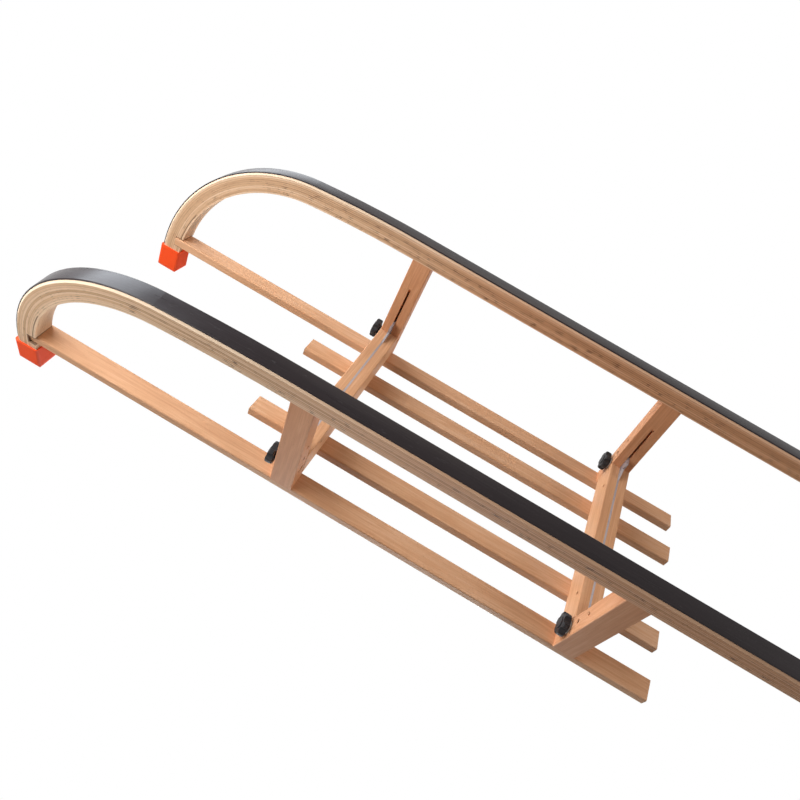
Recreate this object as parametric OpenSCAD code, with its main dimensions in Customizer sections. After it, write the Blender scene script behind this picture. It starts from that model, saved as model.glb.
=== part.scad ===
// Folding wooden sledge with two bent runners, four legs and four seat slats.
// +X points forward, +Y to the left and +Z up. The runners stand on z = 0.
// Each side frame (runner, sole, cap, two legs and an outer slat) is drawn upright in its
// own plane, with u outward from the legs' outer face and w up from the sole, and leaned.

/* [Overall] */
// Length from the runners' rear ends to the front of the tip caps
overall_l = 1098; // [1000:1:1200]
// Distance from the middle to the plane of the legs' outer face, at the ground
half_track = 198; // [192:1:215]
// Outward lean of each side frame, in degrees
lean = 7; // [5:0.5:9]
// Height of the crossbeams' top face
beam_top = 218.5; // [205:0.5:222]

/* [Runners] */
// Width of a runner
runner_w = 30; // [28:0.5:34]
// Depth of a runner's wood, without the sole
runner_h = 31; // [26:0.5:34]
// Chamfer between the runner's sides and its sole
edge_chamfer = 2.5; // [1.5:0.5:4]
// Distance from the front legs' middle to the centre of the curl
curl_ahead = 180; // [160:1:200]
// Radius of the curl, measured on the sole's face
curl_r = 248; // [225:1:270]
// Gap between the front legs and the start of the slight rise before the curl
rise_gap = 2; // [0:1:30]
// Angle of that rise, in degrees
rise_deg = 5.3; // [4:0.1:6]
// Height of the runner's tip above the sole, along the side frame
tip_h = 292; // [275:0.5:318]
// Rounding of the runner's upper rear corner
rear_round = 12; // [6:1:20]
// Depth of the notch in the runner's tip that holds the outer slat's end
notch_depth = 12; // [6:0.5:14]

/* [Soles and caps] */
// Depth of the sliding sole, with its glue line
sole_t = 2; // [1.5:0.5:4]
// Glue line between a runner and its sole
glue_line = 0.03; // [0.03:0.01:0.1]
// Chamfer along the sole's edges
sole_edge = 0.8; // [0.4:0.1:1.2]
// Distance from the runner's rear end to the sole's rear end
sole_setback = 7; // [4:1:15]
// Length of sole that is tucked under the tip cap
sole_tuck = 8; // [4:1:15]
// Wall of the tip cap
cap_wall = 2; // [1.5:0.1:3]
// Thickness of the tip cap's closed end
cap_end = 6; // [4:0.5:8]
// Clearance between the outer slat's top and the tip cap's rim
cap_gap = 12; // [6:0.5:20]
// Rounding of the tip cap's end edges
cap_round = 11; // [3:0.5:11]
// Rounding of the tip cap's long edges
cap_corner = 4; // [2:0.5:5]

/* [Seat] */
// Width of a seat slat
slat_w = 30; // [26:0.5:34]
// Thickness of a seat slat
slat_t = 14.5; // [12:0.5:18]
// Rounding of the slats' long edges
slat_round = 2; // [1:0.5:3]
// Distance from the middle to an inner slat's centre line
inner_slat_y = 78.5; // [60:0.5:95]
// Rise of an outer slat's inner edge above the crossbeams
outer_slat_rise = 4; // [2:0.2:8]
// Length of the inner slats in front of the front trestle's centre
front_overhang = 102; // [80:1:140]
// Length of the inner slats behind the rear trestle's centre
rear_overhang = 128; // [80:1:160]
// Distance of an outer slat's outer edge inward from the legs' outer face
slat_inset = 1.5; // [0:0.5:3]
// Distance by which the outer slats end before the inner ones at the rear
outer_setback = 1.5; // [0:0.5:6]

/* [Trestles] */
// Position of the front trestle's centre
front_trestle_x = 120; // [80:5:150]
// Distance between the two trestles' centres
trestle_gap = 440; // [400:5:480]
// Width of the legs and crossbeams, along the sledge
leg_w = 32.5; // [30:0.5:36]
// Thickness of the legs, across the sledge
leg_t = 28; // [26:0.5:30]
// Height of the crossbeams
beam_h = 45; // [38:0.5:50]
// Rounding of the legs' and crossbeams' edges
wood_round = 1.5; // [1:0.5:3]
// Gap between a crossbeam's end and the leg
beam_end_gap = 0.3; // [0.2:0.1:1]

/* [Folding joint] */
// Thickness of the steel joint plate
plate_t = 3; // [2:0.5:4]
// Depth of the joint plate inside the crossbeam
plate_depth = 28; // [24:0.5:32]
// Distance from the middle to the end of the plate's corner web, under the crossbeam
gusset_y = 120; // [114:1:126]
// Distance from the hinge pin to the edge of the plate's corner web, inside the rivet's path
web_reach = 26; // [20:0.5:26]
// Radius of the plate round the hinge pin and the clamp stud
eye_r = 9.5; // [8:0.5:10]
// Distance from the leg's inner face to the hinge pin's centre
pivot_in = 12; // [11:0.5:14]
// Gap between the crossbeam and the leg when the side is folded flat
fold_gap = 1.9; // [1:0.1:4]
// Distance from the hinge pin up to the clamp stud
stud_rise = 27.5; // [24:0.5:29]
// Width of the saw kerf in the leg
leg_kerf = 3.6; // [3.4:0.1:5]
// Depth of the saw kerf in the leg
kerf_depth = 23; // [22:0.5:24]
// Radius of the saw that cuts the kerf
saw_r = 70; // [60:5:100]
// Length of the kerf below the hinge pin, on the leg's inner face
kerf_run = 76.5; // [65:0.5:85]
// Distance from the hinge pin down to the rivet that closes the kerf
leg_rivet_drop = 29.5; // [24:0.5:36]
// Distance from the middle to a crossbeam rivet
beam_rivet_y = 105; // [100:1:108]
// Height of the crossbeam rivets above the crossbeam's underside
beam_rivet_z = 12.5; // [8:0.5:18]
// Radius of the hinge pins
pin_r = 3; // [2.5:0.1:4]
// Radius of the rivets
rivet_r = 2.5; // [2:0.1:3.5]
// Distance of pin and rivet ends below the wood's surface
pin_recess = 1.5; // [0.5:0.1:2]
// Radial clearance of a part that turns in its bore
run_fit = 0.06; // [0.03:0.01:0.09]
// Radial clearance of a part that is fixed in its bore
seat_fit = 0.03; // [0.02:0.01:0.05]

/* [Clamp knobs] */
// Radius of a knob over its lobes
knob_r = 16; // [14:0.5:18]
// Thickness of a knob's grip
knob_t = 9.5; // [8:0.5:12]
// Number of lobes
knob_lobes = 6; // [5:1:8]
// Radius of the hollows between the lobes
hollow_r = 6; // [5:0.5:6.5]
// Depth of those hollows
hollow_depth = 4; // [2:0.5:4.5]
// Radius of the knob's hub
hub_r = 8; // [7:0.5:9]
// Height of the hub behind the grip
hub_t = 2; // [1:0.5:4]
// Rounding of the grip's rims
knob_round = 2.5; // [1.5:0.5:3]
// Radius of the clamp stud
stud_r = 3; // [2.5:0.1:3.5]
// Depth of the stud in the knob
stud_grip = 9; // [6:0.5:10]
// Radial clearance of the stud in the plate's open slot
slot_fit = 0.25; // [0.1:0.05:0.4]
// Radius of the washer under the knob
washer_r = 8.5; // [7.5:0.5:10]
// Thickness of that washer
washer_t = 1.2; // [1:0.1:2]
// Radius of the nut let into the leg's rear face
nut_r = 6.5; // [5.5:0.5:7]
// Length of that nut
nut_t = 7; // [5:0.5:9]
// Running gap between the knob's hub and its washer
knob_gap = 0.2; // [0.1:0.1:0.5]
// How far the front knobs are turned back from there
front_knob_back = 1.5; // [0:0.1:2]

/* [Screws] */
// Shank radius of the wood screws
screw_r = 2.25; // [2:0.05:2.5]
// Head radius of the wood screws
screw_head_r = 4.5; // [4:0.1:5]
// Length of the screws through the inner slats
seat_screw_l = 27; // [24:1:29]
// Length of the screws through the outer slats into the legs
slat_screw_l = 42; // [35:1:43]
// Length of the screws through the runners into the legs
runner_screw_l = 65; // [55:1:70]
// Length of the screw through the runner's tip into the slat's end
tip_screw_l = 60; // [50:1:70]
// Distance of a leg-top screw from the leg's centre line
slat_screw_x = 9; // [8:0.5:10]
// Depth of the tip screw's head below the runner's face
tip_screw_sink = 1; // [0.6:0.1:2]

/* [Hidden] */
$fn = 96;

// Distance that cutting shapes run past the face they cut
past = 1;
// How much fuller the curl is drawn on each face, and how far the rise runs into it
fuller = 0.01;
rise_lap = 0.5;
wood = [0.83, 0.66, 0.47];
ply = [0.78, 0.6, 0.42];
black = [0.13, 0.12, 0.13];
orange = [0.95, 0.36, 0.16];
steel = [0.62, 0.62, 0.62];

rear_trestle_x = front_trestle_x - trestle_gap;
beam_bottom = beam_top - beam_h;

// Side frame: its centre plane, the lift that brings the sole's lowest edge to the ground
frame_u = -leg_t / 2;
sole_w = runner_w - 2 * edge_chamfer;
ground_lift = (sole_w / 2 - sole_edge - frame_u) * sin(lean);
leg_foot = sole_t + runner_h;
leg_top = (beam_top + outer_slat_rise - ground_lift + (slat_w + slat_inset) * sin(lean))
  / cos(lean);
slat_mid_u = -slat_w / 2 - slat_inset;
slat_mid_w = leg_top + slat_t / 2;

// Path of the sole's face: straight, slight rise, curl, then upright to the tip
curl_x = front_trestle_x + curl_ahead;
rise_x = front_trestle_x + leg_w / 2 + rise_gap;
rise_r = curl_r + (curl_x - rise_x) / sin(rise_deg);
curl_w = rise_r * (1 - cos(rise_deg)) + curl_r * cos(rise_deg);
rear_x = curl_x + curl_r + cap_wall - overall_l;

// Tip cap: its rim above the outer slat, and where the sole ends inside it
cap_rim = leg_top + slat_t + cap_gap;
sole_end = cap_rim + sole_tuck;

// Where the outer slat's end sits in the runner's tip
inner_curl_r = curl_r - sole_t - runner_h;
slat_end_x = curl_x + sqrt(pow(inner_curl_r, 2) - pow(max(0, curl_w - leg_top), 2)) + notch_depth;
tip_screw_x = curl_x - tip_screw_sink
  + sqrt(pow(curl_r - sole_t, 2) - pow(max(0, curl_w - slat_mid_w), 2));

// Hinge pin and clamp stud, in the side frame's plane
pivot_u = pivot_in - leg_t;
pivot_w = (beam_bottom - fold_gap - pivot_in - ground_lift - pivot_u * sin(lean)) / cos(lean);
stud_w = pivot_w + stud_rise;
leg_rivet_w = pivot_w - leg_rivet_drop;
kerf_full_w = pivot_w - kerf_run + sqrt(pow(saw_r, 2) - pow(saw_r - kerf_depth, 2));
slot_r = stud_r + slot_fit;

// Distance from a leg's front face to its knob
function knob_off(x) = washer_t + knob_gap + (x == front_trestle_x ? front_knob_back : 0);

// A point of the left side frame's plane, seen from the front
function frame_y(u, w) = half_track + u * cos(lean) - w * sin(lean);
function frame_z(u, w) = ground_lift + u * sin(lean) + w * cos(lean);

// End of a crossbeam at a height: parallel to the leg's inner face
function beam_end(z) = frame_y(-leg_t, 0) - beam_end_gap / cos(lean)
  - (z - frame_z(-leg_t, 0)) * tan(lean);

// Leans the left side frame into place
module leaned() {
  translate([0, half_track, ground_lift])
    rotate([lean, 0, 0])
      children();
}

// The left side frame, or its mirror image on the right
module side(left) {
  if (left) leaned() children();
  else mirror([0, 1, 0]) leaned() children();
}

// The same lean for an outline seen from the front
module leaned_outline() {
  translate([half_track, ground_lift])
    rotate(lean)
      children();
}

// Rectangle with round corners, centred
module round_rect(width, height, r) {
  square([width, height - 2 * r], center = true);
  square([width - 2 * r, height], center = true);
  for (x = [-1, 1], y = [-1, 1])
    translate([x * (width / 2 - r), y * (height / 2 - r)])
      circle(r, $fn = 48);
}

// Extrudes an outline of the side view's Y and Z along X
module along_x(length) {
  translate([-length / 2, 0, 0])
    rotate([90, 0, 90])
      linear_extrude(length)
        children();
}

// Cylinder along X, centred
module x_rod(r, length) {
  rotate([0, 90, 0])
    cylinder(r = r, h = length, center = true);
}

// Countersunk screw with its head's face at the origin, pointing down
module screw(length, fit = 0) {
  rotate([180, 0, 0]) {
    cylinder(r = screw_r + fit, h = length + fit);
    cylinder(r1 = screw_head_r + fit, r2 = screw_r + fit, h = screw_head_r - screw_r);
  }
}

// Sweeps an outline, its width centred and its depth up from the sole's face, round the
// curl and up to a height
module along_curl(end_w) {
  translate([curl_x + curl_r, frame_u, curl_w]) {
    rotate([0, 0, 90])
      linear_extrude(end_w - curl_w)
        children();
    translate([-curl_r, 0, 0])
      rotate([-90, 0, 0])
        rotate_extrude(angle = 90 - rise_deg, $fn = 240)
          translate([curl_r, 0])
            rotate(90)
              children();
  }
}

// Sweeps an outline along the runner's whole path. The curl is drawn a hair fuller than
// the rest, so the two fuse.
module along_runner(start_x, outline, curl_outline) {
  translate([rise_x, frame_u, 0]) {
    rotate([90, 0, -90])
      linear_extrude(rise_x - start_x)
        polygon(outline);
    translate([0, 0, rise_r])
      rotate([90, 90, 0])
        rotate_extrude(angle = rise_deg + rise_lap / rise_r * 180 / PI, $fn = 720)
          translate([rise_r, 0])
            rotate(90)
              polygon(outline);
  }
  along_curl(tip_h) polygon(curl_outline);
}

function runner_outline(fuller = 0) = [
  [-sole_w / 2 - fuller, sole_t - fuller], [sole_w / 2 + fuller, sole_t - fuller],
  [runner_w / 2 + fuller, sole_t + edge_chamfer], [runner_w / 2 + fuller, leg_foot + fuller],
  [-runner_w / 2 - fuller, leg_foot + fuller], [-runner_w / 2 - fuller, sole_t + edge_chamfer]
];

function sole_outline(fuller = 0) = [
  [-sole_w / 2 + sole_edge, -fuller], [sole_w / 2 - sole_edge, -fuller],
  [sole_w / 2 + fuller, sole_edge - fuller], [sole_w / 2 + fuller, sole_t - glue_line + fuller],
  [-sole_w / 2 - fuller, sole_t - glue_line + fuller], [-sole_w / 2 - fuller, sole_edge - fuller]
];

// Bent laminated runner, with a notch for the outer slat and a rounded rear corner
module runner(left) {
  color(ply)
    side(left)
      difference() {
        along_runner(rear_x, runner_outline(), runner_outline(fuller));
        translate([slat_end_x - 2 * notch_depth, frame_u - runner_w, leg_top - seat_fit])
          cube([2 * notch_depth + seat_fit, 2 * runner_w, slat_t + 2 * seat_fit]);
        translate([rear_x, frame_u, leg_foot]) rear_corner();
        runner_screws_up(seat_fit);
        tip_screw(seat_fit);
      }
}

// What is cut from the upper rear corner to round it
module rear_corner() {
  rotate([90, 0, 0])
    linear_extrude(2 * runner_w, center = true)
      difference() {
        translate([-past, -rear_round]) square(rear_round + past);
        translate([rear_round, -rear_round]) circle(rear_round);
      }
}

// Black sliding sole, from the runner's rear end to under the tip cap
module sole(left) {
  color(black)
    side(left)
      difference() {
        along_runner(rear_x + sole_setback, sole_outline(), sole_outline(fuller));
        above_sole_end(0);
      }
}

// The space round the runner's tip above the sole's end
module above_sole_end(fit) {
  translate([curl_x, frame_u - runner_w, sole_end + fit])
    cube([2 * curl_r, 2 * runner_w, tip_h]);
}

// Plastic cap over the runner's tip, with its cavity round the wood and the sole
module tip_cap(left) {
  depth = leg_foot + 2 * cap_wall;
  width = runner_w + 2 * cap_wall;
  height = tip_h + cap_end - cap_rim;
  color(orange)
    side(left)
      difference() {
        intersection() {
          along_curl(tip_h + cap_end)
            translate([0, leg_foot / 2]) round_rect(width, depth, cap_corner);
          translate([curl_x, frame_u, cap_rim])
            rotate([90, 0, 0])
              linear_extrude(2 * width, center = true)
                cap_face(curl_r - leg_foot - cap_wall, curl_r + cap_wall, height);
          translate([curl_x, frame_u, cap_rim])
            rotate([90, 0, 90])
              linear_extrude(curl_r + depth) cap_face(-width / 2, width / 2, height);
        }
        along_curl(tip_h) polygon(runner_outline(seat_fit));
        difference() {
          along_curl(tip_h) polygon(sole_outline(seat_fit));
          above_sole_end(seat_fit);
        }
      }
}

// Face of the cap, from its rim up, with its closed end's corners round
module cap_face(from_x, to_x, height) {
  translate([from_x, 0]) square([to_x - from_x, height - cap_round]);
  translate([from_x + cap_round, 0]) square([to_x - from_x - 2 * cap_round, height]);
  for (x = [from_x + cap_round, to_x - cap_round])
    translate([x, height - cap_round]) circle(cap_round);
}

// Outer slat: on the legs' tops, with its front end in the runner's notch
module outer_slat(left) {
  start_x = rear_trestle_x - rear_overhang + outer_setback;
  color(wood)
    side(left)
      difference() {
        translate([(start_x + slat_end_x) / 2, slat_mid_u, slat_mid_w])
          along_x(slat_end_x - start_x) round_rect(slat_w, slat_t, slat_round);
        slat_screws_down(seat_fit);
        tip_screw(seat_fit);
      }
}

// Inner slat: flat on the two crossbeams
module inner_slat(left) {
  start_x = rear_trestle_x - rear_overhang;
  end_x = front_trestle_x + front_overhang;
  color(wood)
    difference() {
      translate([(start_x + end_x) / 2, (left ? 1 : -1) * inner_slat_y, beam_top + slat_t / 2])
        along_x(end_x - start_x) round_rect(slat_w, slat_t, slat_round);
      seat_screw_set(seat_fit);
    }
}

// Leg with its sawn kerf, the bores that cross it and the seat of the clamp nut
module leg(x, left) {
  color(wood)
    side(left)
      difference() {
        translate([x, frame_u, leg_foot])
          linear_extrude(leg_top - leg_foot) round_rect(leg_w, leg_t, wood_round);
        translate([x, 0, 0]) {
          leg_kerf_cut();
          translate([0, pivot_u, pivot_w]) x_rod(pin_r + seat_fit, leg_w + 2 * past);
          translate([0, pivot_u, stud_w]) x_rod(stud_r + run_fit, leg_w + 2 * past);
          translate([0, pivot_u, leg_rivet_w]) x_rod(rivet_r + seat_fit, leg_w + 2 * past);
          translate([-leg_w / 2, pivot_u, stud_w]) x_rod(nut_r + seat_fit, 2 * nut_t);
        }
        runner_screws_up(seat_fit);
        slat_screws_down(seat_fit);
      }
}

// Kerf from the leg's top, run out at its lower end as the saw leaves it
module leg_kerf_cut() {
  translate([-leg_kerf / 2, -leg_t - past, kerf_full_w])
    cube([leg_kerf, kerf_depth + past, leg_top - kerf_full_w + past]);
  translate([0, kerf_depth - leg_t - saw_r, kerf_full_w])
    rotate([0, 90, 0])
      cylinder(r = saw_r, h = leg_kerf, center = true, $fn = 180);
}

// Crossbeam with slanting ends and a kerf in its underside for the joint plate
module crossbeam(x) {
  color(wood)
    difference() {
      intersection() {
        translate([x, 0, 0])
          along_x(leg_w)
            polygon([
              [-beam_end(beam_bottom), beam_bottom], [beam_end(beam_bottom), beam_bottom],
              [beam_end(beam_top), beam_top], [-beam_end(beam_top), beam_top]
            ]);
        translate([x, 0, beam_top - beam_h / 2])
          rotate([90, 0, 0])
            linear_extrude(2 * half_track, center = true)
              round_rect(leg_w, beam_h, wood_round);
      }
      translate([x, 0, beam_bottom + plate_depth / 2])
        cube([plate_t + 2 * seat_fit, 2 * half_track, plate_depth + 2 * seat_fit], center = true);
      translate([x, 0, beam_bottom])
        cube([plate_t + 2 * seat_fit, 2 * half_track, 2 * past], center = true);
      beam_rivet_pair(x, seat_fit);
      seat_screw_set(seat_fit);
    }
}

// Steel plate in the crossbeam's kerf, with a hinge eye and a clamp slot at each end
module joint_plate(x) {
  color(steel)
    difference() {
      translate([x, 0, 0])
        along_x(plate_t)
          for (left = [true, false])
            mirror([left ? 0 : 1, 0]) plate_half();
      beam_rivet_pair(x, seat_fit);
    }
}

module plate_half() {
  eye = [frame_y(pivot_u, pivot_w), frame_z(pivot_u, pivot_w)];
  stud = [frame_y(pivot_u, stud_w), frame_z(pivot_u, stud_w)];
  web_low = eye[1] - eye_r;
  web_step = eye + web_reach * [cos(172.5), sin(172.5)];
  difference() {
    union() {
      translate([0, beam_bottom]) square([stud[0], plate_depth]);
      polygon([
        [gusset_y, beam_bottom], web_step, eye, stud, [stud[0], beam_bottom + plate_depth]
      ]);
      intersection() {
        translate(eye) circle(web_reach);
        translate([gusset_y, web_low]) square([eye[0] - gusset_y, beam_bottom - web_low]);
      }
      leaned_outline() {
        translate([pivot_u, pivot_w]) circle(eye_r);
        translate([pivot_u, stud_w]) circle(eye_r);
        translate([pivot_u - eye_r, pivot_w]) square([2 * eye_r, stud_rise]);
      }
    }
    leaned_outline()
      translate([pivot_u, pivot_w]) {
        circle(pin_r + run_fit);
        translate([0, stud_rise]) circle(slot_r);
        clamp_slot();
      }
  }
}

// Slot round the hinge pin, open to the outside, that lets the stud swing out
module clamp_slot() {
  reach = 3 * eye_r;
  intersection() {
    difference() {
      circle(stud_rise + slot_r);
      circle(stud_rise - slot_r);
    }
    polygon([[0, 0], [0, 2 * reach], [2 * reach, 2 * reach], [2 * reach, reach]]);
  }
}

module hinge_pins(left) {
  color(steel)
    side(left)
      for (x = [front_trestle_x, rear_trestle_x])
        translate([x, pivot_u, pivot_w]) x_rod(pin_r, leg_w - 2 * pin_recess);
}

module leg_rivets(left) {
  color(steel)
    side(left)
      for (x = [front_trestle_x, rear_trestle_x])
        translate([x, pivot_u, leg_rivet_w]) x_rod(rivet_r, leg_w - 2 * pin_recess);
}

// The two rivets that hold a joint plate in its crossbeam, or their bores
module beam_rivet_pair(x, fit = 0) {
  length = fit > 0 ? leg_w + 2 * past : leg_w - 2 * pin_recess;
  for (y = [-1, 1])
    translate([x, y * beam_rivet_y, beam_bottom + beam_rivet_z]) x_rod(rivet_r + fit, length);
}

module crossbeam_rivets() {
  color(steel) {
    beam_rivet_pair(front_trestle_x);
    beam_rivet_pair(rear_trestle_x);
  }
}

// Screws through the inner slats into the crossbeams
module seat_screw_set(fit = 0) {
  for (x = [front_trestle_x, rear_trestle_x], y = [-1, 1])
    translate([x, y * inner_slat_y, beam_top + slat_t]) screw(seat_screw_l, fit);
}

// Screws through an outer slat into the legs' tops, one on each side of the kerf
module slat_screws_down(fit = 0) {
  for (x = [front_trestle_x, rear_trestle_x], d = [-1, 1])
    translate([x + d * slat_screw_x, slat_mid_u, leg_top + slat_t]) screw(slat_screw_l, fit);
}

// Screws up through a runner into the legs' feet, hidden by the sole
module runner_screws_up(fit = 0) {
  for (x = [front_trestle_x, rear_trestle_x])
    translate([x, frame_u, sole_t])
      rotate([180, 0, 0]) screw(runner_screw_l, fit);
}

// Screw through the runner's tip into the end of the outer slat
module tip_screw(fit = 0) {
  translate([tip_screw_x, frame_u, slat_mid_w]) {
    rotate([0, 90, 0]) screw(tip_screw_l, fit);
    if (fit > 0)
      rotate([0, 90, 0]) cylinder(r = screw_head_r + fit, h = 2 * tip_screw_sink);
  }
}

module slat_screws(left) {
  color(steel) side(left) slat_screws_down();
}

module runner_screws(left) {
  color(steel)
    side(left) {
      runner_screws_up();
      tip_screw();
    }
}

// Round nut let into the leg's rear face, in which the clamp stud turns
module clamp_nuts(left) {
  color(steel)
    side(left)
      for (x = [front_trestle_x, rear_trestle_x])
        translate([x - leg_w / 2 + pin_recess + (nut_t - pin_recess) / 2, pivot_u, stud_w])
          difference() {
            x_rod(nut_r, nut_t - pin_recess);
            x_rod(stud_r + run_fit, nut_t + 2 * past);
          }
}

module washers(left) {
  color(steel)
    side(left)
      for (x = [front_trestle_x, rear_trestle_x])
        translate([x + (leg_w + washer_t) / 2, pivot_u, stud_w])
          difference() {
            x_rod(washer_r, washer_t);
            x_rod(stud_r + run_fit, washer_t + 2 * past);
          }
}

// Lobed clamp knob on the leg's front face
module knob(x, left) {
  color(black)
    side(left)
      translate([x + leg_w / 2 + knob_off(x), pivot_u, stud_w])
        rotate([0, 90, 0])
          difference() {
            union() {
              cylinder(r = hub_r, h = hub_t + knob_round);
              translate([0, 0, hub_t]) knob_grip();
            }
            for (i = [0 : knob_lobes - 1])
              rotate(i * 360 / knob_lobes)
                translate([knob_r - hollow_depth + hollow_r, 0, hub_t - past])
                  cylinder(r = hollow_r, h = knob_t + 3 * past);
            translate([0, 0, -past])
              cylinder(r = stud_r + seat_fit, h = stud_grip + seat_fit + past);
          }
}

// The knob's grip: a round disc with rolled rims and a low boss on its face
module knob_grip() {
  rotate_extrude()
    intersection() {
      union() {
        translate([0, knob_t / 2]) round_rect(2 * knob_r, knob_t, knob_round);
        square([hub_r, knob_t + past]);
      }
      square([knob_r, knob_t + past]);
    }
}

module stud(x, left) {
  start_x = -leg_w / 2 + pin_recess;
  end_x = leg_w / 2 + knob_off(x) + stud_grip;
  color(steel)
    side(left)
      translate([x + (start_x + end_x) / 2, pivot_u, stud_w]) x_rod(stud_r, end_x - start_x);
}

runner(true);  // left_runner
runner(false);  // right_runner
sole(true);  // left_sole
sole(false);  // right_sole
tip_cap(true);  // left_tip_cap
tip_cap(false);  // right_tip_cap
outer_slat(true);  // left_outer_slat
outer_slat(false);  // right_outer_slat
inner_slat(true);  // left_inner_slat
inner_slat(false);  // right_inner_slat
leg(front_trestle_x, true);  // front_left_leg
leg(rear_trestle_x, true);  // rear_left_leg
leg(front_trestle_x, false);  // front_right_leg
leg(rear_trestle_x, false);  // rear_right_leg
crossbeam(front_trestle_x);  // front_crossbeam
crossbeam(rear_trestle_x);  // rear_crossbeam
joint_plate(front_trestle_x);  // front_joint_plate
joint_plate(rear_trestle_x);  // rear_joint_plate
crossbeam_rivets();
color(steel) seat_screw_set();  // seat_screws
hinge_pins(true);  // left_hinge_pins
hinge_pins(false);  // right_hinge_pins
leg_rivets(true);  // left_leg_rivets
leg_rivets(false);  // right_leg_rivets
slat_screws(true);  // left_slat_screws
slat_screws(false);  // right_slat_screws
runner_screws(true);  // left_runner_screws
runner_screws(false);  // right_runner_screws
clamp_nuts(true);  // left_clamp_nuts
clamp_nuts(false);  // right_clamp_nuts
washers(true);  // left_washers
washers(false);  // right_washers
knob(front_trestle_x, true);  // front_left_knob
knob(rear_trestle_x, true);  // rear_left_knob
knob(front_trestle_x, false);  // front_right_knob
knob(rear_trestle_x, false);  // rear_right_knob
stud(front_trestle_x, true);  // front_left_stud
stud(rear_trestle_x, true);  // rear_left_stud
stud(front_trestle_x, false);  // front_right_stud
stud(rear_trestle_x, false);  // rear_right_stud
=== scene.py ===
"""Finishes, screw heads, studio and camera for the folding wooden sledge.

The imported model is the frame, in metres: +X forward, +Y left, +Z up, runners on z = 0.
Materials work from object coordinates turned into millimetres along and across the grain.
"""

import math

import bmesh
import bpy
from mathutils import Matrix, Vector


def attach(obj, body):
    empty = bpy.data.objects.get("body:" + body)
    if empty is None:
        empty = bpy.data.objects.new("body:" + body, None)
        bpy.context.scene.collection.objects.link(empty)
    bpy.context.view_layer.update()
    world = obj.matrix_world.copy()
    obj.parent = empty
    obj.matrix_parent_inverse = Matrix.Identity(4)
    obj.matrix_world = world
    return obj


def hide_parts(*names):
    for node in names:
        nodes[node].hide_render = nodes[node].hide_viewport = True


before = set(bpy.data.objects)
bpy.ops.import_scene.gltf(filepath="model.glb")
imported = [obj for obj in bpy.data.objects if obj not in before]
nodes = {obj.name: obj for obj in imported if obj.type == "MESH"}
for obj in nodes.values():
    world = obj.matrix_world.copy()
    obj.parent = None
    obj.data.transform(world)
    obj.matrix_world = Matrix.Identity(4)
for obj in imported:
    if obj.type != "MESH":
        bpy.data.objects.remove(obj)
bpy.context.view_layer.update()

# Sizes of the model, in millimetres. A side frame leans by LEAN, about the line HALF_TRACK
# out and LIFT up. From there u runs outward across it, and up runs along its legs.
LEAN = math.radians(7)
HALF_TRACK = 198
LIFT = 3.132
RUNNER_U = -14
OUTER_SLAT_U = -16.5
LEG_TOP = 224.883
SLAT_T = 14.5
SLAT_END_X = 524.81
BEAM_TOP = 218.5
INNER_SLAT_Y = 78.5
TRESTLES = (120, -320)

# The runner's bends: where each starts or has its centre, its radius, and the rise's angle
RISE_X, RISE_R, RISE = 138.25, 1999.1, math.radians(5.3)
CURL_X, CURL_R, CURL_UP = 300, 248, 255.486
SOLE_T, SOLE_CROWN, SOLE_BUMP = 2, 0.004, 0.05
PLY_T = 3.14

# Colours of the woods: ramps of (place, colour), and what is laid over them
BEECH = ((0.15, (0.56, 0.265, 0.13)), (0.5, (0.70, 0.378, 0.207)), (0.85, (0.84, 0.535, 0.35)))
BEECH_FLECK, BEECH_PORE = (0.36, 0.165, 0.075, 1), (0.30, 0.14, 0.07, 1)
PLIES = ((0.1, (0.46, 0.262, 0.14)), (0.45, (0.72, 0.452, 0.265)), (0.9, (0.92, 0.685, 0.48)))
PLY_FLECK, PALE_PLY = (0.30, 0.15, 0.08, 1), (0.90, 0.70, 0.50, 1)
# The last of these colours serves both the dark seam and a painted shadow line
GLUE, GAP, SEAM_AND_SHADOW = (0.24, 0.115, 0.055, 1), (0.10, 0.05, 0.03, 1), (0.13, 0.06, 0.03, 1)
# The next colour is painted shade, laid over the runner behind the curl
REAR_SHADE = (0.94, 0.70, 0.58, 1)
LACQUER = {"Coat_Weight": 0.03, "Coat_Roughness": 0.3, "Specular_IOR_Level": 0.15}


# Node trees

def feed(tree, socket, value):
    """Links value to the socket, or sets it as the socket's constant."""
    if isinstance(value, bpy.types.NodeSocket):
        tree.links.new(value, socket)
    elif value is not None:
        socket.default_value = value


def add(tree, kind, *values, **settings):
    """Adds a shader node, with its settings and its inputs in order."""
    node = tree.nodes.new("ShaderNode" + kind)
    for name, value in settings.items():
        setattr(node, name, value)
    for socket, value in zip(node.inputs, values):
        feed(tree, socket, value)
    return node


def calc(tree, operation, *values, clamp=False):
    """One step of arithmetic, held to 0..1 if clamp is set."""
    return add(tree, "Math", *values, operation=operation, use_clamp=clamp).outputs[0]


def step_up(tree, value, start, end):
    """0 up to start and 1 from end on, with a soft change between; end may be the lower."""
    node = add(tree, "MapRange", value, start, end, 0, 1, interpolation_type="SMOOTHSTEP")
    return node.outputs[0]


def spread(tree, value, low, high):
    """Takes 0..1 to low..high."""
    return add(tree, "MapRange", value, 0, 1, low, high).outputs[0]


def in_millimetres(tree):
    """Place on the piece at rest, in millimetres."""
    return add(tree, "VectorMath", add(tree, "TexCoord").outputs["Object"], (1000,) * 3,
               operation="MULTIPLY").outputs[0]


def noise(tree, vector, stretch, detail=2, rough=0.5, warp=0):
    """Noise over millimetres, with its own number of waves per millimetre on each axis."""
    placed = add(tree, "VectorMath", vector, stretch, operation="MULTIPLY").outputs[0]
    node = add(tree, "TexNoise")
    for name, value in (("Vector", placed), ("Scale", 1), ("Detail", detail),
                        ("Roughness", rough), ("Distortion", warp)):
        feed(tree, node.inputs[name], value)
    return node.outputs[0]


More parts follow.
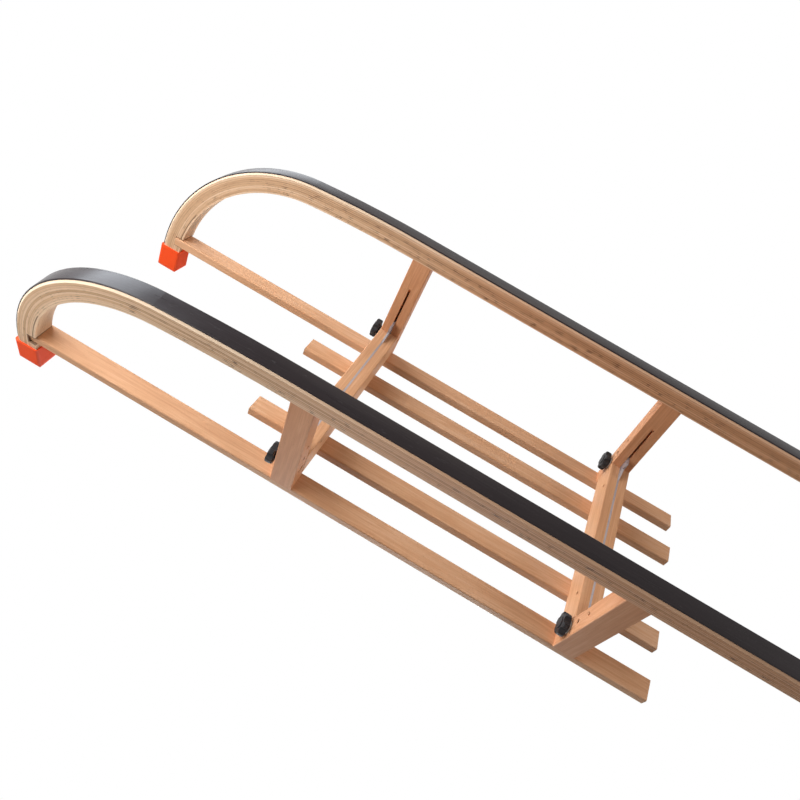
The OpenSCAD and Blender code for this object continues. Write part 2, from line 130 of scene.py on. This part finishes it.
def blend_colour(tree, factor, a, b, mode="MIX"):
    node = add(tree, "Mix", data_type="RGBA", blend_type=mode)
    for index, value in ((0, factor), (6, a), (7, b)):
        feed(tree, node.inputs[index], value)
    return node.outputs[2]


def ramp(tree, factor, *stops):
    """Colour from a row of (place, colour) stops."""
    node = add(tree, "ValToRGB", factor)
    points = node.color_ramp.elements
    while len(points) < len(stops):
        points.new(0.5)
    for point, (place, colour) in zip(points, stops):
        point.position = place
        point.color = (*colour, 1)
    return node.outputs[0]


def group(name, inputs, outputs):
    """New node group. Returns its tree, the group's input sockets and its output node."""
    tree = bpy.data.node_groups.new(name, "ShaderNodeTree")
    for label, kind in inputs:
        tree.interface.new_socket(label, in_out="INPUT", socket_type="NodeSocket" + kind)
    for label, kind in outputs:
        tree.interface.new_socket(label, in_out="OUTPUT", socket_type="NodeSocket" + kind)
    return tree, tree.nodes.new("NodeGroupInput").outputs, tree.nodes.new("NodeGroupOutput")


def use(tree, made, *values):
    """Places a node group, with its inputs in order, and returns its outputs."""
    node = add(tree, "Group")
    node.node_tree = made
    for socket, value in zip(node.inputs, values):
        feed(tree, socket, value)
    return node.outputs


# Grain of solid beech: X of the grain runs along the wood, in millimetres

def make_beech_grain():
    tree, given, out = group(
        "beech grain",
        (("Grain", "Vector"), ("Tone", "Float")),
        (("Colour", "Color"), ("Roughness", "Float"), ("Height", "Float")))
    grain = given["Grain"]
    wander = noise(tree, grain, (0.006, 0.05, 0.05), 2)
    across = add(tree, "SeparateXYZ", grain).outputs
    rings = calc(tree, "MULTIPLY_ADD", across[1], 0.16,
                 calc(tree, "MULTIPLY_ADD", across[2], 0.05,
                      calc(tree, "MULTIPLY", wander, 5.5)))
    rings = calc(tree, "SINE", calc(tree, "MULTIPLY", rings, 2 * math.pi))
    streaks = noise(tree, grain, (0.012, 0.55, 0.55), 4, 0.6)
    cloud = noise(tree, grain, (0.004, 0.02, 0.02), 1)
    tone = calc(tree, "MULTIPLY_ADD", rings, 0.055,
                calc(tree, "MULTIPLY_ADD", streaks, 0.75,
                     calc(tree, "MULTIPLY_ADD", cloud, 0.45, -0.12)))
    tone = calc(tree, "ADD", tone, given["Tone"], clamp=True)
    colour = ramp(tree, tone, *BEECH)
    flecks = step_up(tree, noise(tree, grain, (0.22, 1.5, 1.5), 1, 0.4), 0.68, 0.76)
    pores = step_up(tree, noise(tree, grain, (0.25, 4.5, 4.5), 2, 0.6), 0.60, 0.75)
    colour = blend_colour(tree, calc(tree, "MULTIPLY", flecks, 0.42), colour, BEECH_FLECK)
    colour = blend_colour(tree, calc(tree, "MULTIPLY", pores, 0.10), colour, BEECH_PORE)
    feed(tree, out.inputs["Colour"], colour)
    feed(tree, out.inputs["Roughness"], calc(tree, "MULTIPLY_ADD", streaks, 0.18, 0.44))
    height = calc(tree, "MULTIPLY_ADD", pores, -0.6, calc(tree, "MULTIPLY", streaks, 0.5))
    feed(tree, out.inputs["Height"], height)
    return tree


# Place along the runner's bent path: X along it, Y in from the sole's face, Z outward

def make_runner_path():
    tree, _, out = group("runner path", (), (("Path", "Vector"), ("Height", "Float")))
    x, y, z = add(tree, "SeparateXYZ", in_millimetres(tree)).outputs
    y = calc(tree, "SUBTRACT", calc(tree, "ABSOLUTE", y), HALF_TRACK)
    z = calc(tree, "SUBTRACT", z, LIFT)
    sin, cos = math.sin(LEAN), math.cos(LEAN)
    out_u = calc(tree, "MULTIPLY_ADD", y, cos, calc(tree, "MULTIPLY_ADD", z, sin, -RUNNER_U))
    up = calc(tree, "MULTIPLY_ADD", y, -sin, calc(tree, "MULTIPLY", z, cos))

    def round_bend(centre_x, centre_up, radius, start_s, start_angle):
        """Path round a bend, and the angle round it."""
        run = calc(tree, "SUBTRACT", x, centre_x)
        drop = calc(tree, "SUBTRACT", centre_up, up)
        angle = calc(tree, "ARCTAN2", run, drop)
        far = add(tree, "CombineXYZ", run, drop, 0).outputs[0]
        far = add(tree, "VectorMath", far, operation="LENGTH").outputs["Value"]
        along = calc(tree, "MULTIPLY_ADD", angle, radius, start_s - radius * start_angle)
        depth = calc(tree, "SUBTRACT", radius, far)
        return add(tree, "CombineXYZ", along, depth, out_u).outputs[0], angle

    rise_s = RISE_R * RISE
    tip_s = rise_s + CURL_R * (math.pi / 2 - RISE)
    straight = add(tree, "CombineXYZ", calc(tree, "SUBTRACT", x, RISE_X), up, out_u).outputs[0]
    rise, _ = round_bend(RISE_X, RISE_R, RISE_R, 0, 0)
    curl, angle = round_bend(CURL_X, CURL_UP, CURL_R, rise_s, RISE)
    tip = add(tree, "CombineXYZ", calc(tree, "ADD", up, tip_s - CURL_UP),
              calc(tree, "SUBTRACT", CURL_X + CURL_R, x), out_u).outputs[0]
    in_tip = calc(tree, "MULTIPLY", calc(tree, "GREATER_THAN", up, CURL_UP),
                  calc(tree, "GREATER_THAN", x, CURL_X))
    path = straight
    for factor, stretch in ((calc(tree, "GREATER_THAN", x, RISE_X), rise),
                            (calc(tree, "GREATER_THAN", angle, RISE), curl),
                            (in_tip, tip)):
        node = add(tree, "Mix", data_type="VECTOR")
        for index, value in ((0, factor), (4, path), (5, stretch)):
            feed(tree, node.inputs[index], value)
        path = node.outputs[1]
    feed(tree, out.inputs["Path"], path)
    feed(tree, out.inputs["Height"], up)
    return tree


# Layers of the bent runner: plies with glue lines, short gaps and a seam behind the tip

def make_layers(path_group):
    tree, given, out = group(
        "runner layers", (("Seed", "Float"),),
        (("Colour", "Color"), ("Roughness", "Float"), ("Height", "Float")))
    path, up = use(tree, path_group)
    along, depth, side = add(tree, "SeparateXYZ", path).outputs
    layer = calc(tree, "DIVIDE", calc(tree, "SUBTRACT", depth, SOLE_T), PLY_T)
    number = calc(tree, "FLOOR", layer)
    part = calc(tree, "FRACT", layer)
    edge = calc(tree, "MULTIPLY", calc(tree, "MINIMUM", part, calc(tree, "SUBTRACT", 1, part)),
                PLY_T)
    key = add(tree, "CombineXYZ", number, given["Seed"], 0).outputs[0]
    chance = add(tree, "TexWhiteNoise", key, noise_dimensions="3D").outputs["Value"]

    # Grain that slides from one ply to the next
    slid = calc(tree, "MULTIPLY_ADD", chance, 400, along)
    grain = add(tree, "CombineXYZ", slid, depth, side).outputs[0]
    streaks = noise(tree, grain, (0.009, 0.75, 0.6), 4, 0.7)
    flecks = step_up(tree, noise(tree, grain, (0.10, 1.3, 1.0), 1, 0.4), 0.62, 0.72)
    tone = calc(tree, "MULTIPLY_ADD", chance, 0.45, calc(tree, "SUBTRACT", streaks, 0.24),
                clamp=True)
    colour = ramp(tree, tone, *PLIES)
    colour = blend_colour(tree, calc(tree, "MULTIPLY", flecks, 0.35), colour, PLY_FLECK)

    # Glue lines, and short gaps along some of them, fainter round the bend and none on the
    # runner's inner face
    line = calc(tree, "MULTIPLY_ADD", calc(tree, "ROUND", layer), 5.3, given["Seed"])
    fade = add(tree, "CombineXYZ", calc(tree, "MULTIPLY", along, 0.006), line, 0).outputs[0]
    fade = step_up(tree, noise(tree, fade, (1, 1, 1), 1), 0.35, 0.60)
    straight = spread(tree, step_up(tree, along, 380, 120), 0.4, 1)
    glue = calc(tree, "MULTIPLY", step_up(tree, edge, 0.75, 0.3),
                calc(tree, "MULTIPLY", straight, spread(tree, fade, 0.25, 1)))
    places = calc(tree, "MULTIPLY_ADD", number, 9.7, given["Seed"])
    gap = add(tree, "CombineXYZ", calc(tree, "MULTIPLY", along, 0.05), places, 0).outputs[0]
    gap = calc(tree, "MULTIPLY_ADD", edge, -0.12, noise(tree, gap, (1, 1, 1), 2, 0.6))
    gap = calc(tree, "MULTIPLY", step_up(tree, gap, 0.54, 0.58), step_up(tree, depth, 10, 13))
    gap = calc(tree, "MULTIPLY", gap, straight)
    inside = step_up(tree, depth, 33.0, 32.5)
    gap, glue = calc(tree, "MULTIPLY", gap, inside), calc(tree, "MULTIPLY", glue, inside)
    colour = blend_colour(tree, calc(tree, "MULTIPLY", glue, 0.58), colour, GLUE)
    colour = blend_colour(tree, calc(tree, "MULTIPLY", gap, 0.8), colour, GAP)

    # Pale ply at the chamfer beside the sole
    pale = step_up(tree, depth, 5.6, 4.9)
    colour = blend_colour(tree, calc(tree, "MULTIPLY", pale, 0.5), colour, PALE_PLY)

    # Painted shade: the runner darker and redder behind the curl, where the light is dimmer
    # and warmer
    behind = step_up(tree, along, 130, -230)
    colour = blend_colour(tree, calc(tree, "MULTIPLY", behind, 0.7), colour, REAR_SHADE,
                          "MULTIPLY")

    # Joint behind the tip: a dark seam, and a painted shadow line round the outer slat's end
    seam_and_shadow = step_up(tree, calc(tree, "ABSOLUTE", calc(tree, "SUBTRACT", depth, 29.5)), 0.9, 0.6)
    low = step_up(tree, up, LEG_TOP - 64, LEG_TOP - 58)
    high = step_up(tree, up, LEG_TOP + 1, LEG_TOP)
    seam_and_shadow = calc(tree, "MULTIPLY", seam_and_shadow, calc(tree, "MULTIPLY", low, high))
    forward = add(tree, "SeparateXYZ", in_millimetres(tree)).outputs[0]
    beyond = calc(tree, "SUBTRACT", forward, SLAT_END_X)
    over = calc(tree, "SUBTRACT",
                calc(tree, "ABSOLUTE", calc(tree, "SUBTRACT", up, LEG_TOP + SLAT_T / 2)),
                SLAT_T / 2)
    # This mask paints a shadow line round the outer slat's end
    notch_shadow = step_up(tree, calc(tree, "MAXIMUM", beyond, over), 1.8, 1.4)
    seam_and_shadow = calc(tree, "MAXIMUM", seam_and_shadow, notch_shadow)
    colour = blend_colour(tree, calc(tree, "MULTIPLY", seam_and_shadow, 0.8), colour, SEAM_AND_SHADOW)
    feed(tree, out.inputs["Colour"], colour)
    feed(tree, out.inputs["Roughness"], calc(tree, "MULTIPLY_ADD", streaks, 0.18, 0.46))
    dips = calc(tree, "MAXIMUM", calc(tree, "MULTIPLY", glue, 0.5),
                calc(tree, "MAXIMUM", gap, seam_and_shadow))
    feed(tree, out.inputs["Height"],
         calc(tree, "MULTIPLY_ADD", dips, -1, calc(tree, "MULTIPLY", streaks, 0.45)))
    return tree


beech_grain = make_beech_grain()
runner_path = make_runner_path()
runner_layers = make_layers(runner_path)


# Materials

def new_material(name):
    """A material with a Principled shader. Returns the material, its tree and the shader."""
    material = bpy.data.materials.new(name)
    material.use_nodes = True
    tree = material.node_tree
    return material, tree, tree.nodes["Principled BSDF"]


def finish_with(tree, shader, colour, roughness, height, depth_mm, **constants):
    """Wires colour, roughness and bump, and sets constants on the shader's own sockets."""
    feed(tree, shader.inputs["Base Color"], colour)
    feed(tree, shader.inputs["Roughness"], roughness)
    if height is not None:
        bump = add(tree, "Bump")
        feed(tree, bump.inputs["Height"], height)
        bump.inputs["Distance"].default_value = depth_mm / 1000
        bump.inputs["Strength"].default_value = 1
        feed(tree, shader.inputs["Normal"], bump.outputs[0])
    for name, value in constants.items():
        shader.inputs[name.replace("_", " ")].default_value = value


def beech(name, grain_axis, shift, tone, tint):
    """Lacquered solid beech whose grain runs along grain_axis."""
    material, tree, shader = new_material(name)
    axis = Vector(grain_axis).normalized()
    across = axis.orthogonal().normalized()
    turn = Matrix((axis, across, axis.cross(across))).to_euler()
    place = add(tree, "Mapping", add(tree, "TexCoord").outputs["Object"], vector_type="POINT")
    place.inputs["Rotation"].default_value = turn
    grain = add(tree, "VectorMath", place.outputs[0], (1000,) * 3, shift,
                operation="MULTIPLY_ADD").outputs[0]
    colour, roughness, height = use(tree, beech_grain, grain, tone)
    colour = blend_colour(tree, 1, colour, (*tint, 1), "MULTIPLY")
    finish_with(tree, shader, colour, roughness, height, 0.10, **LACQUER)
    return material


def laminated(name, seed):
    """Bent laminated beech of a runner."""
    material, tree, shader = new_material(name)
    colour, roughness, height = use(tree, runner_layers, seed)
    finish_with(tree, shader, colour, roughness, height, 0.12, **LACQUER)
    return material


def sliding_sole():
    """Black running sole: satin and slightly crowned, with scratches along its way."""
    material, tree, shader = new_material("black sliding sole")
    path = use(tree, runner_path)[0]
    scratches = noise(tree, path, (0.006, 0.5, 2.6), 3, 0.7)
    scratches = step_up(tree, scratches, 0.56, 0.72)
    cloud = noise(tree, path, (0.012, 0.1, 0.08), 3, 0.55)
    scuffs = step_up(tree, noise(tree, path, (0.05, 0.3, 0.22), 4, 0.65, 0.4), 0.62, 0.72)
    colour = blend_colour(tree, cloud, (0.012, 0.007, 0.008, 1), (0.022, 0.014, 0.015, 1))
    colour = blend_colour(tree, calc(tree, "MULTIPLY", scratches, 0.28), colour,
                          (0.085, 0.078, 0.08, 1))
    colour = blend_colour(tree, calc(tree, "MULTIPLY", scuffs, 0.22), colour,
                          (0.12, 0.11, 0.11, 1))
    roughness = calc(tree, "MULTIPLY_ADD", cloud, 0.14,
                     calc(tree, "MULTIPLY_ADD", scratches, 0.12, 0.22))
    side = add(tree, "SeparateXYZ", path).outputs[2]
    crown = calc(tree, "MULTIPLY", calc(tree, "MULTIPLY", side, side), -SOLE_CROWN / SOLE_BUMP)
    height = calc(tree, "ADD", crown, calc(tree, "MULTIPLY_ADD", scratches, -0.6, cloud))
    finish_with(tree, shader, colour, roughness, height, SOLE_BUMP, IOR=1.3)
    return material


def moulded(name, colour, dark, roughness, grain, depth, **constants):
    """Moulded plastic with a fine grained face and handling marks."""
    material, tree, shader = new_material(name)
    place = in_millimetres(tree)
    fine = noise(tree, place, (grain,) * 3, 2, 0.6)
    marks = noise(tree, place, (0.12, 0.12, 0.12), 4, 0.6, 0.5)
    worn = step_up(tree, marks, 0.55, 0.75)
    tone = blend_colour(tree, calc(tree, "MULTIPLY", worn, 0.7), colour, dark)
    rough = calc(tree, "MULTIPLY_ADD", worn, 0.14, spread(tree, fine, roughness - 0.05,
                                                          roughness + 0.05))
    finish_with(tree, shader, tone, rough, fine, depth, **constants)
    return material


def steel(name, colour, dark, brush, roughness, metallic=1.0):
    """Zinc-plated or plain steel, with brush marks stretched by brush (waves per mm)."""
    material, tree, shader = new_material(name)
    place = in_millimetres(tree)
    marks = noise(tree, place, brush, 3, 0.6)
    cloud = noise(tree, place, (0.15, 0.15, 0.15), 3, 0.55)
    spots = step_up(tree, cloud, 0.55, 0.75)
    tone = blend_colour(tree, calc(tree, "MULTIPLY", spots, 0.6), colour, dark)
    tone = blend_colour(tree, calc(tree, "MULTIPLY", marks, 0.25), tone, dark)
    rough = calc(tree, "MULTIPLY_ADD", marks, 0.2, calc(tree, "MULTIPLY_ADD", spots, 0.15,
                                                        roughness - 0.1))
    finish_with(tree, shader, tone, rough, marks, 0.02, Metallic=metallic)
    return material


def dress(material, *names):
    """Gives CAD nodes a material in place of the plain one."""
    for name in names:
        for held in nodes[name].material_slots:
            held.material = material


def leaned_axis(side):
    """Upward axis of a side frame; side is 1 on the left and -1 on the right."""
    return (0, -side * math.sin(LEAN), math.cos(LEAN))


SIDES = (("left", 1), ("right", -1))
for place, (side, sign) in enumerate(SIDES):
    dress(laminated(side + " laminated beech", 3.7 + 11 * place), side + "_runner")
    dress(beech(side + " outer slat beech", (1, 0, 0), (91 + 700 * place, 40 * place, 13),
                0.03 + 0.04 * sign, (1, 1, 0.98)), side + "_outer_slat")
    dress(beech(side + " inner slat beech", (1, 0, 0), (333, 17 + 60 * place, 71),
                0.05 - 0.03 * sign, (1, 1, 0.97)), side + "_inner_slat")
    for end, shift in (("front", 150), ("rear", 470)):
        dress(beech(end + " " + side + " leg beech", leaned_axis(sign),
                    (shift, 30 * place, shift / 3), -0.05, (1, 0.88, 0.80)),
              end + "_" + side + "_leg")
for end, shift in (("front", 610), ("rear", 820)):
    dress(beech(end + " crossbeam beech", (0, 1, 0), (shift, 5, shift / 7), 0.0,
                (1, 0.97, 0.92)), end + "_crossbeam")

dress(sliding_sole(), "left_sole", "right_sole")
dress(moulded("orange cap plastic", (0.97, 0.088, 0.016, 1), (0.86, 0.068, 0.012, 1), 0.6,
              3.0, 0.03, IOR=1.3, Specular_IOR_Level=0.4, Subsurface_Weight=0.08,
              Subsurface_Scale=0.003),
      "left_tip_cap", "right_tip_cap")
dress(moulded("black knob plastic", (0.016, 0.014, 0.015, 1), (0.034, 0.031, 0.032, 1), 0.55,
              2.2, 0.06, Specular_IOR_Level=0.3),
      *(end + "_" + side + "_knob" for end in ("front", "rear") for side, _ in SIDES))
dress(steel("zinc-plated plate", (0.40, 0.35, 0.35, 1), (0.29, 0.25, 0.25, 1),
            (0.8, 0.05, 2.4), 0.5, 0.55), "front_joint_plate", "rear_joint_plate")
fastener_zinc = steel("zinc-plated fasteners", (0.66, 0.64, 0.60, 1), (0.38, 0.36, 0.33, 1),
                      (1.2, 1.2, 1.2), 0.40)
dress(fastener_zinc, "left_clamp_nuts", "right_clamp_nuts", "left_washers", "right_washers",
      "left_runner_screws", "right_runner_screws",
      *(end + "_" + side + "_stud" for end in ("front", "rear") for side, _ in SIDES))
# Painted shade: the pins' brownish steel is darkened nearly to black, for the shade in their
# recessed ends
dress(steel("brown pins with painted shade", (0.07, 0.035, 0.02, 1), (0.03, 0.015, 0.01, 1), (1.5, 1.5, 1.5),
            0.7, 0.3),
      "crossbeam_rivets", "left_hinge_pins", "right_hinge_pins", "left_leg_rivets",
      "right_leg_rivets")


# Wood screws with cross recesses in their heads, in place of the plain CAD ones. Sizes are
# in millimetres, with the head's face at height 0, and rows are (radius, height).
SCREW_SIDES, SHANK_R = 40, 2.2
SCREW_POINT, TAPER = (0.4, 0.2), 5
HEAD = ((SHANK_R, -2.4), (4.48, -0.1), (4.38, 0))
CROSS_DEPTH, CROSS_FLOOR, CROSS_MOUTH = 1.7, (0.42, 1.0), (0.55, 2.5)


def draw_up(part, edges, rise):
    """Draws an open loop of edges upward. Returns the new loop's corners and edges."""
    made = bmesh.ops.extrude_edge_only(part, edges=edges)["geom"]
    corners = [item for item in made if isinstance(item, bmesh.types.BMVert)]
    bmesh.ops.translate(part, vec=(0, 0, rise), verts=corners)
    drawn = set(corners)
    return corners, [item for item in made
                     if isinstance(item, bmesh.types.BMEdge) and drawn.issuperset(item.verts)]


def size_cross(part, corners, half, reach):
    """Scales a cross of five cells to the half width and the reach of its arms."""
    for axis in range(2):
        spans = [abs(corner.co[axis]) for corner in corners]
        middle = (min(spans) + max(spans)) / 2
        rows = ((half, [corner for corner, span in zip(corners, spans) if span < middle]),
                (reach, [corner for corner, span in zip(corners, spans) if span > middle]))
        for wanted, row in rows:
            scale = [1, 1, 1]
            scale[axis] = wanted / abs(row[0].co[axis])
            bmesh.ops.scale(part, vec=scale, verts=row)


def add_screw(mesh, place, length):
    """Countersunk wood screw of a length, with its head's face at place."""
    part = bmesh.new()

    # The recess grows from its floor, five cells of a grid, up to its mouth
    bmesh.ops.create_grid(part, x_segments=3, y_segments=3, size=1,
                          matrix=Matrix.Translation((0, 0, -CROSS_DEPTH)))
    spare = [face for face in part.faces
             if min(abs(span) for span in face.calc_center_median().xy) > 0.5]
    bmesh.ops.delete(part, geom=spare, context="FACES")
    size_cross(part, part.verts[:], *CROSS_FLOOR)
    rim = [edge for edge in part.edges if edge.is_boundary]
    corners, mouth = draw_up(part, rim, CROSS_DEPTH)
    size_cross(part, corners, *CROSS_MOUTH)

    # The body grows from its point up to the head's face
    radius, height = SCREW_POINT[0], SCREW_POINT[1] - length
    point = bmesh.ops.create_circle(part, cap_ends=True, segments=SCREW_SIDES, radius=radius,
                                    matrix=Matrix.Translation((0, 0, height)))["verts"]
    rim = point[0].link_faces[0].edges[:]
    for wider, higher in ((SHANK_R, TAPER - length), *HEAD):
        corners, rim = draw_up(part, rim, higher - height)
        bmesh.ops.scale(part, vec=(wider / radius, wider / radius, 1), verts=corners)
        radius, height = wider, higher
    bmesh.ops.triangle_fill(part, edges=rim + mouth, use_beauty=True)
    bmesh.ops.recalc_face_normals(part, faces=part.faces)
    bmesh.ops.transform(part, matrix=place, verts=part.verts)
    scratch = bpy.data.meshes.new("one screw")
    part.to_mesh(scratch)
    part.free()
    mesh.from_mesh(scratch)
    bpy.data.meshes.remove(scratch)


def screw_set(name, places, length, body, replaced):
    """Piece of zinc-plated screws that rides on body in place of a CAD node."""
    mesh = bmesh.new()
    for place in places:
        add_screw(mesh, Matrix.Scale(0.001, 4) @ place, length)
    data = bpy.data.meshes.new(name)
    mesh.to_mesh(data)
    mesh.free()
    for face in data.polygons:
        face.use_smooth = True
    data.set_sharp_from_angle(angle=math.radians(30))
    data.materials.append(fastener_zinc)
    piece = bpy.data.objects.new(name, data)
    bpy.context.scene.collection.objects.link(piece)
    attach(piece, body)
    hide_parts(replaced)


def turned(degrees):
    """How far a screw was driven, as its cross shows."""
    return Matrix.Rotation(math.radians(degrees), 4, "Z")


SEAT_SCREW, SLAT_SCREW, SCREW_STEP = 27, 42, 9
screw_set(
    "cross_head_seat_screws",
    [Matrix.Translation((x, y, BEAM_TOP + SLAT_T)) @ turned(x / 4 + y / 3)
     for x in TRESTLES for y in (INNER_SLAT_Y, -INNER_SLAT_Y)],
    SEAT_SCREW, "seat_frame", "seat_screws")
for side, sign in SIDES:
    lean = (Matrix.Translation((0, sign * HALF_TRACK, LIFT))
            @ Matrix.Rotation(sign * LEAN, 4, "X"))
    screw_set(
        side + "_cross_head_slat_screws",
        [lean @ Matrix.Translation((x + d, sign * OUTER_SLAT_U, LEG_TOP + SLAT_T))
         @ turned(x / 5 + d * 3)
         for x in TRESTLES for d in (-SCREW_STEP, SCREW_STEP)],
        SLAT_SCREW, side + "_side_frame", side + "_slat_screws")


# Floor, seen only from above, so that it hides nothing of the view from below. It is whole
# up to FLOOR_WHOLE metres from the sledge's middle, and gone from FLOOR_GONE on.

FLOOR_HALF, FLOOR_WHOLE, FLOOR_GONE, FLOOR_GLOW = 6, 0.9, 3.2, 0.14
floor_mesh = bmesh.new()
bmesh.ops.create_grid(floor_mesh, x_segments=1, y_segments=1, size=FLOOR_HALF)
floor_data = bpy.data.meshes.new("floor")
floor_mesh.to_mesh(floor_data)
floor_mesh.free()
floor = bpy.data.objects.new("floor", floor_data)
bpy.context.scene.collection.objects.link(floor)
paint, tree, shader = new_material("pale floor")
finish_with(tree, shader, (0.86, 0.86, 0.86, 1), 0.9, None, 0, Specular_IOR_Level=0.1)
ray = add(tree, "LightPath").outputs["Is Camera Ray"]
front = calc(tree, "SUBTRACT", 1, add(tree, "NewGeometry").outputs["Backfacing"])
away = add(tree, "VectorMath", add(tree, "TexCoord").outputs["Object"], operation="LENGTH")
near = step_up(tree, away.outputs["Value"], FLOOR_GONE, FLOOR_WHOLE)
seen = calc(tree, "MULTIPLY", calc(tree, "MULTIPLY", ray, front), near)
clear = add(tree, "BsdfTransparent").outputs[0]
glow = add(tree, "Emission", (1, 1, 1, 1), FLOOR_GLOW).outputs[0]
solid = add(tree, "AddShader", shader.outputs[0], glow).outputs[0]
mixed = add(tree, "MixShader", seen, clear, solid).outputs[0]
tree.links.new(mixed, tree.nodes["Material Output"].inputs["Surface"])
floor_data.materials.append(paint)


# Light. All lamps but the one above stand below the floor's level, so none marks it

PLAIN, WARM, COOL = (1, 1, 1), (1, 0.89, 0.78), (0.93, 1, 1.08)
MIDDLE, LOW_MIDDLE = (0, 0, 0.15), (0, 0, 0.1)
for name, place, aim, size, power, colour in (
        ("light from the near front", (1.0, -0.6, -0.17), MIDDLE, (0.9, 0.28), 6, PLAIN),
        ("light from the near side", (1.1, -1.2, -0.5), MIDDLE, (0.9, 0.8), 2.5, PLAIN),
        ("light under the front", (0.95, -0.3, -0.55), MIDDLE, (0.8, 0.8), 7.5, COOL),
        ("light on the curl", (1.4, 0.43, -0.45), MIDDLE, (0.9, 0.9), 19, COOL),
        ("light from the far front", (2.4, 3.1, -0.2), MIDDLE, (1.9, 1.9), 26, COOL),
        ("light from the far side", (0.1, 1.0, -0.9), MIDDLE, (0.9, 0.9), 3.5, WARM),
        ("light from behind", (-2.2, 0, -0.62), MIDDLE, (1.5, 1.1), 24, PLAIN),
        ("soft light above", (-0.1, 0, 2.1), LOW_MIDDLE, (1.4, 1.4), 38, PLAIN)):
    data = bpy.data.lights.new(name, "AREA")
    data.shape = "RECTANGLE"
    data.size, data.size_y = size
    data.energy, data.color = power, colour
    light = bpy.data.objects.new(name, data)
    bpy.context.scene.collection.objects.link(light)
    light.location = place
    towards = Vector(aim) - Vector(place)
    light.rotation_euler = towards.to_track_quat("-Z", "Y").to_euler()

# White to the camera and in reflections, and a weak warm light on the object
world = bpy.data.worlds.new("studio")
bpy.context.scene.world = world
world.use_nodes = True
tree = world.node_tree
ambient = tree.nodes["Background"]
ambient.inputs["Color"].default_value = (1, 0.88, 0.78, 1)
ambient.inputs["Strength"].default_value = 0.04
white = add(tree, "Background", (1, 1, 1, 1), 1)
path = add(tree, "LightPath").outputs
seen = calc(tree, "MAXIMUM", path["Is Camera Ray"],
            calc(tree, "MAXIMUM", path["Is Glossy Ray"], path["Is Transmission Ray"]))
mixed = add(tree, "MixShader", seen, ambient.outputs[0], white.outputs[0])
tree.links.new(mixed.outputs[0], tree.nodes["World Output"].inputs["Surface"])
bpy.context.scene.view_settings.view_transform = "Standard"


# Camera, fitted to the photograph's wide lens with the sledge upside down: its focal length
# and the place of its axis, in pixels of a square picture

PICTURE, FOCAL, AXIS_X, AXIS_Y = 800, 670.795, 442.08, 357.20
camera_data = bpy.data.cameras.new("camera")
camera = bpy.data.objects.new("camera", camera_data)
bpy.context.scene.collection.objects.link(camera)
bpy.context.scene.camera = camera
camera.matrix_world = Matrix((
    (-0.863960, 0.502206, -0.036907, -0.01678),
    (0.353630, 0.552914, -0.754475, -0.68263),
    (-0.358495, -0.664887, -0.655291, -0.56131),
    (0, 0, 0, 1)))
camera_data.sensor_width = 36
camera_data.lens = camera_data.sensor_width * FOCAL / PICTURE
camera_data.shift_x = (PICTURE / 2 - AXIS_X) / PICTURE
camera_data.shift_y = (AXIS_Y - PICTURE / 2) / PICTURE
camera_data.clip_start = 0.01
